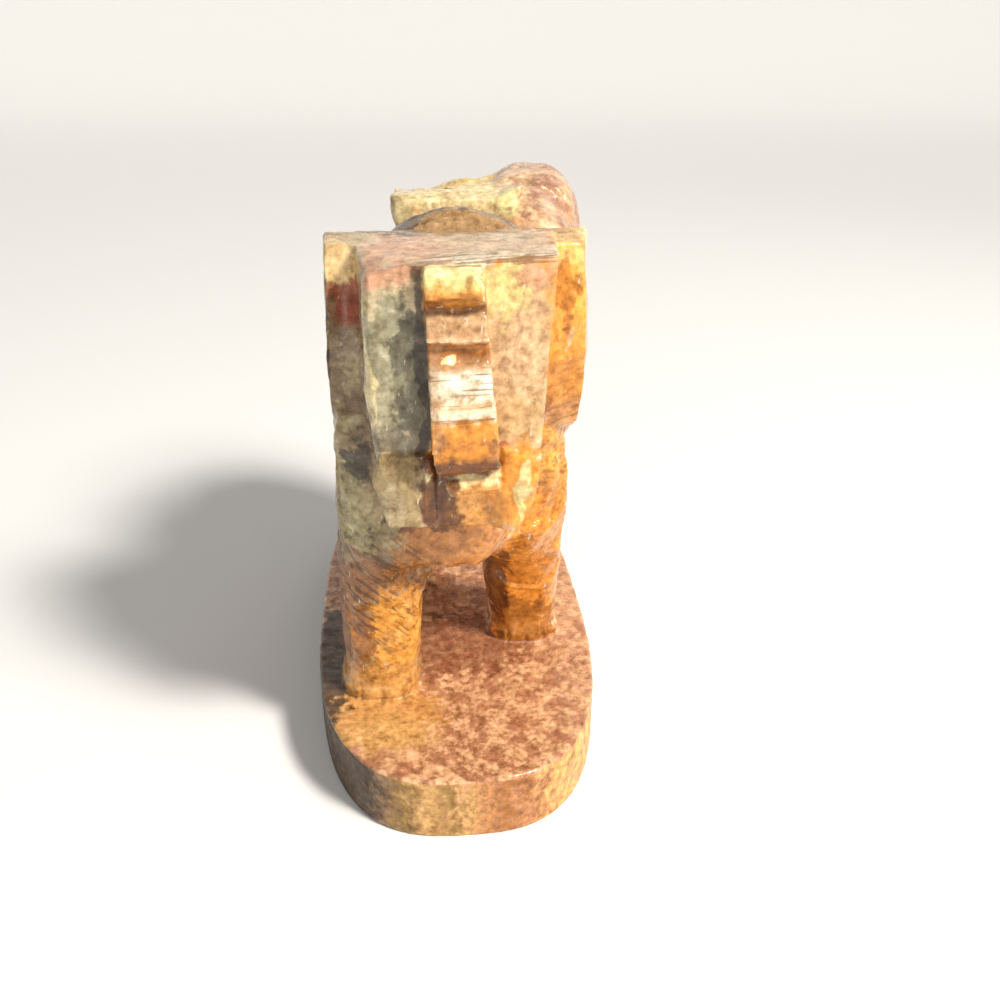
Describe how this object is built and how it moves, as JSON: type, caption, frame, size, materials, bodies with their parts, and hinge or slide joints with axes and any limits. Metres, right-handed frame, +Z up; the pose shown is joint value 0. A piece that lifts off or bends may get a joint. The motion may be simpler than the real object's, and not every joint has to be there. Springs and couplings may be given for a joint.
{
  "type": "soapstone elephant sculpture",
  "caption": "Soapstone elephant walking on its own oval base, carved in one piece with a squared head, stepped trunk and waxed, mottled stone.",
  "frame": {"origin": "middle of the bounding box, on the flat underside", "axes": "-Y is where the elephant faces, +Z is up, +X is to the right seen from the front"},
  "size_m": [0.0501, 0.1088, 0.0912],
  "materials": {
    "soapstone": "waxed and polished soapstone, mottled amber, olive, cream and pink, with fine tool marks"
  },
  "bodies": {
    "root": {"elephant_carving": "soapstone"}
  },
  "joints": []
}
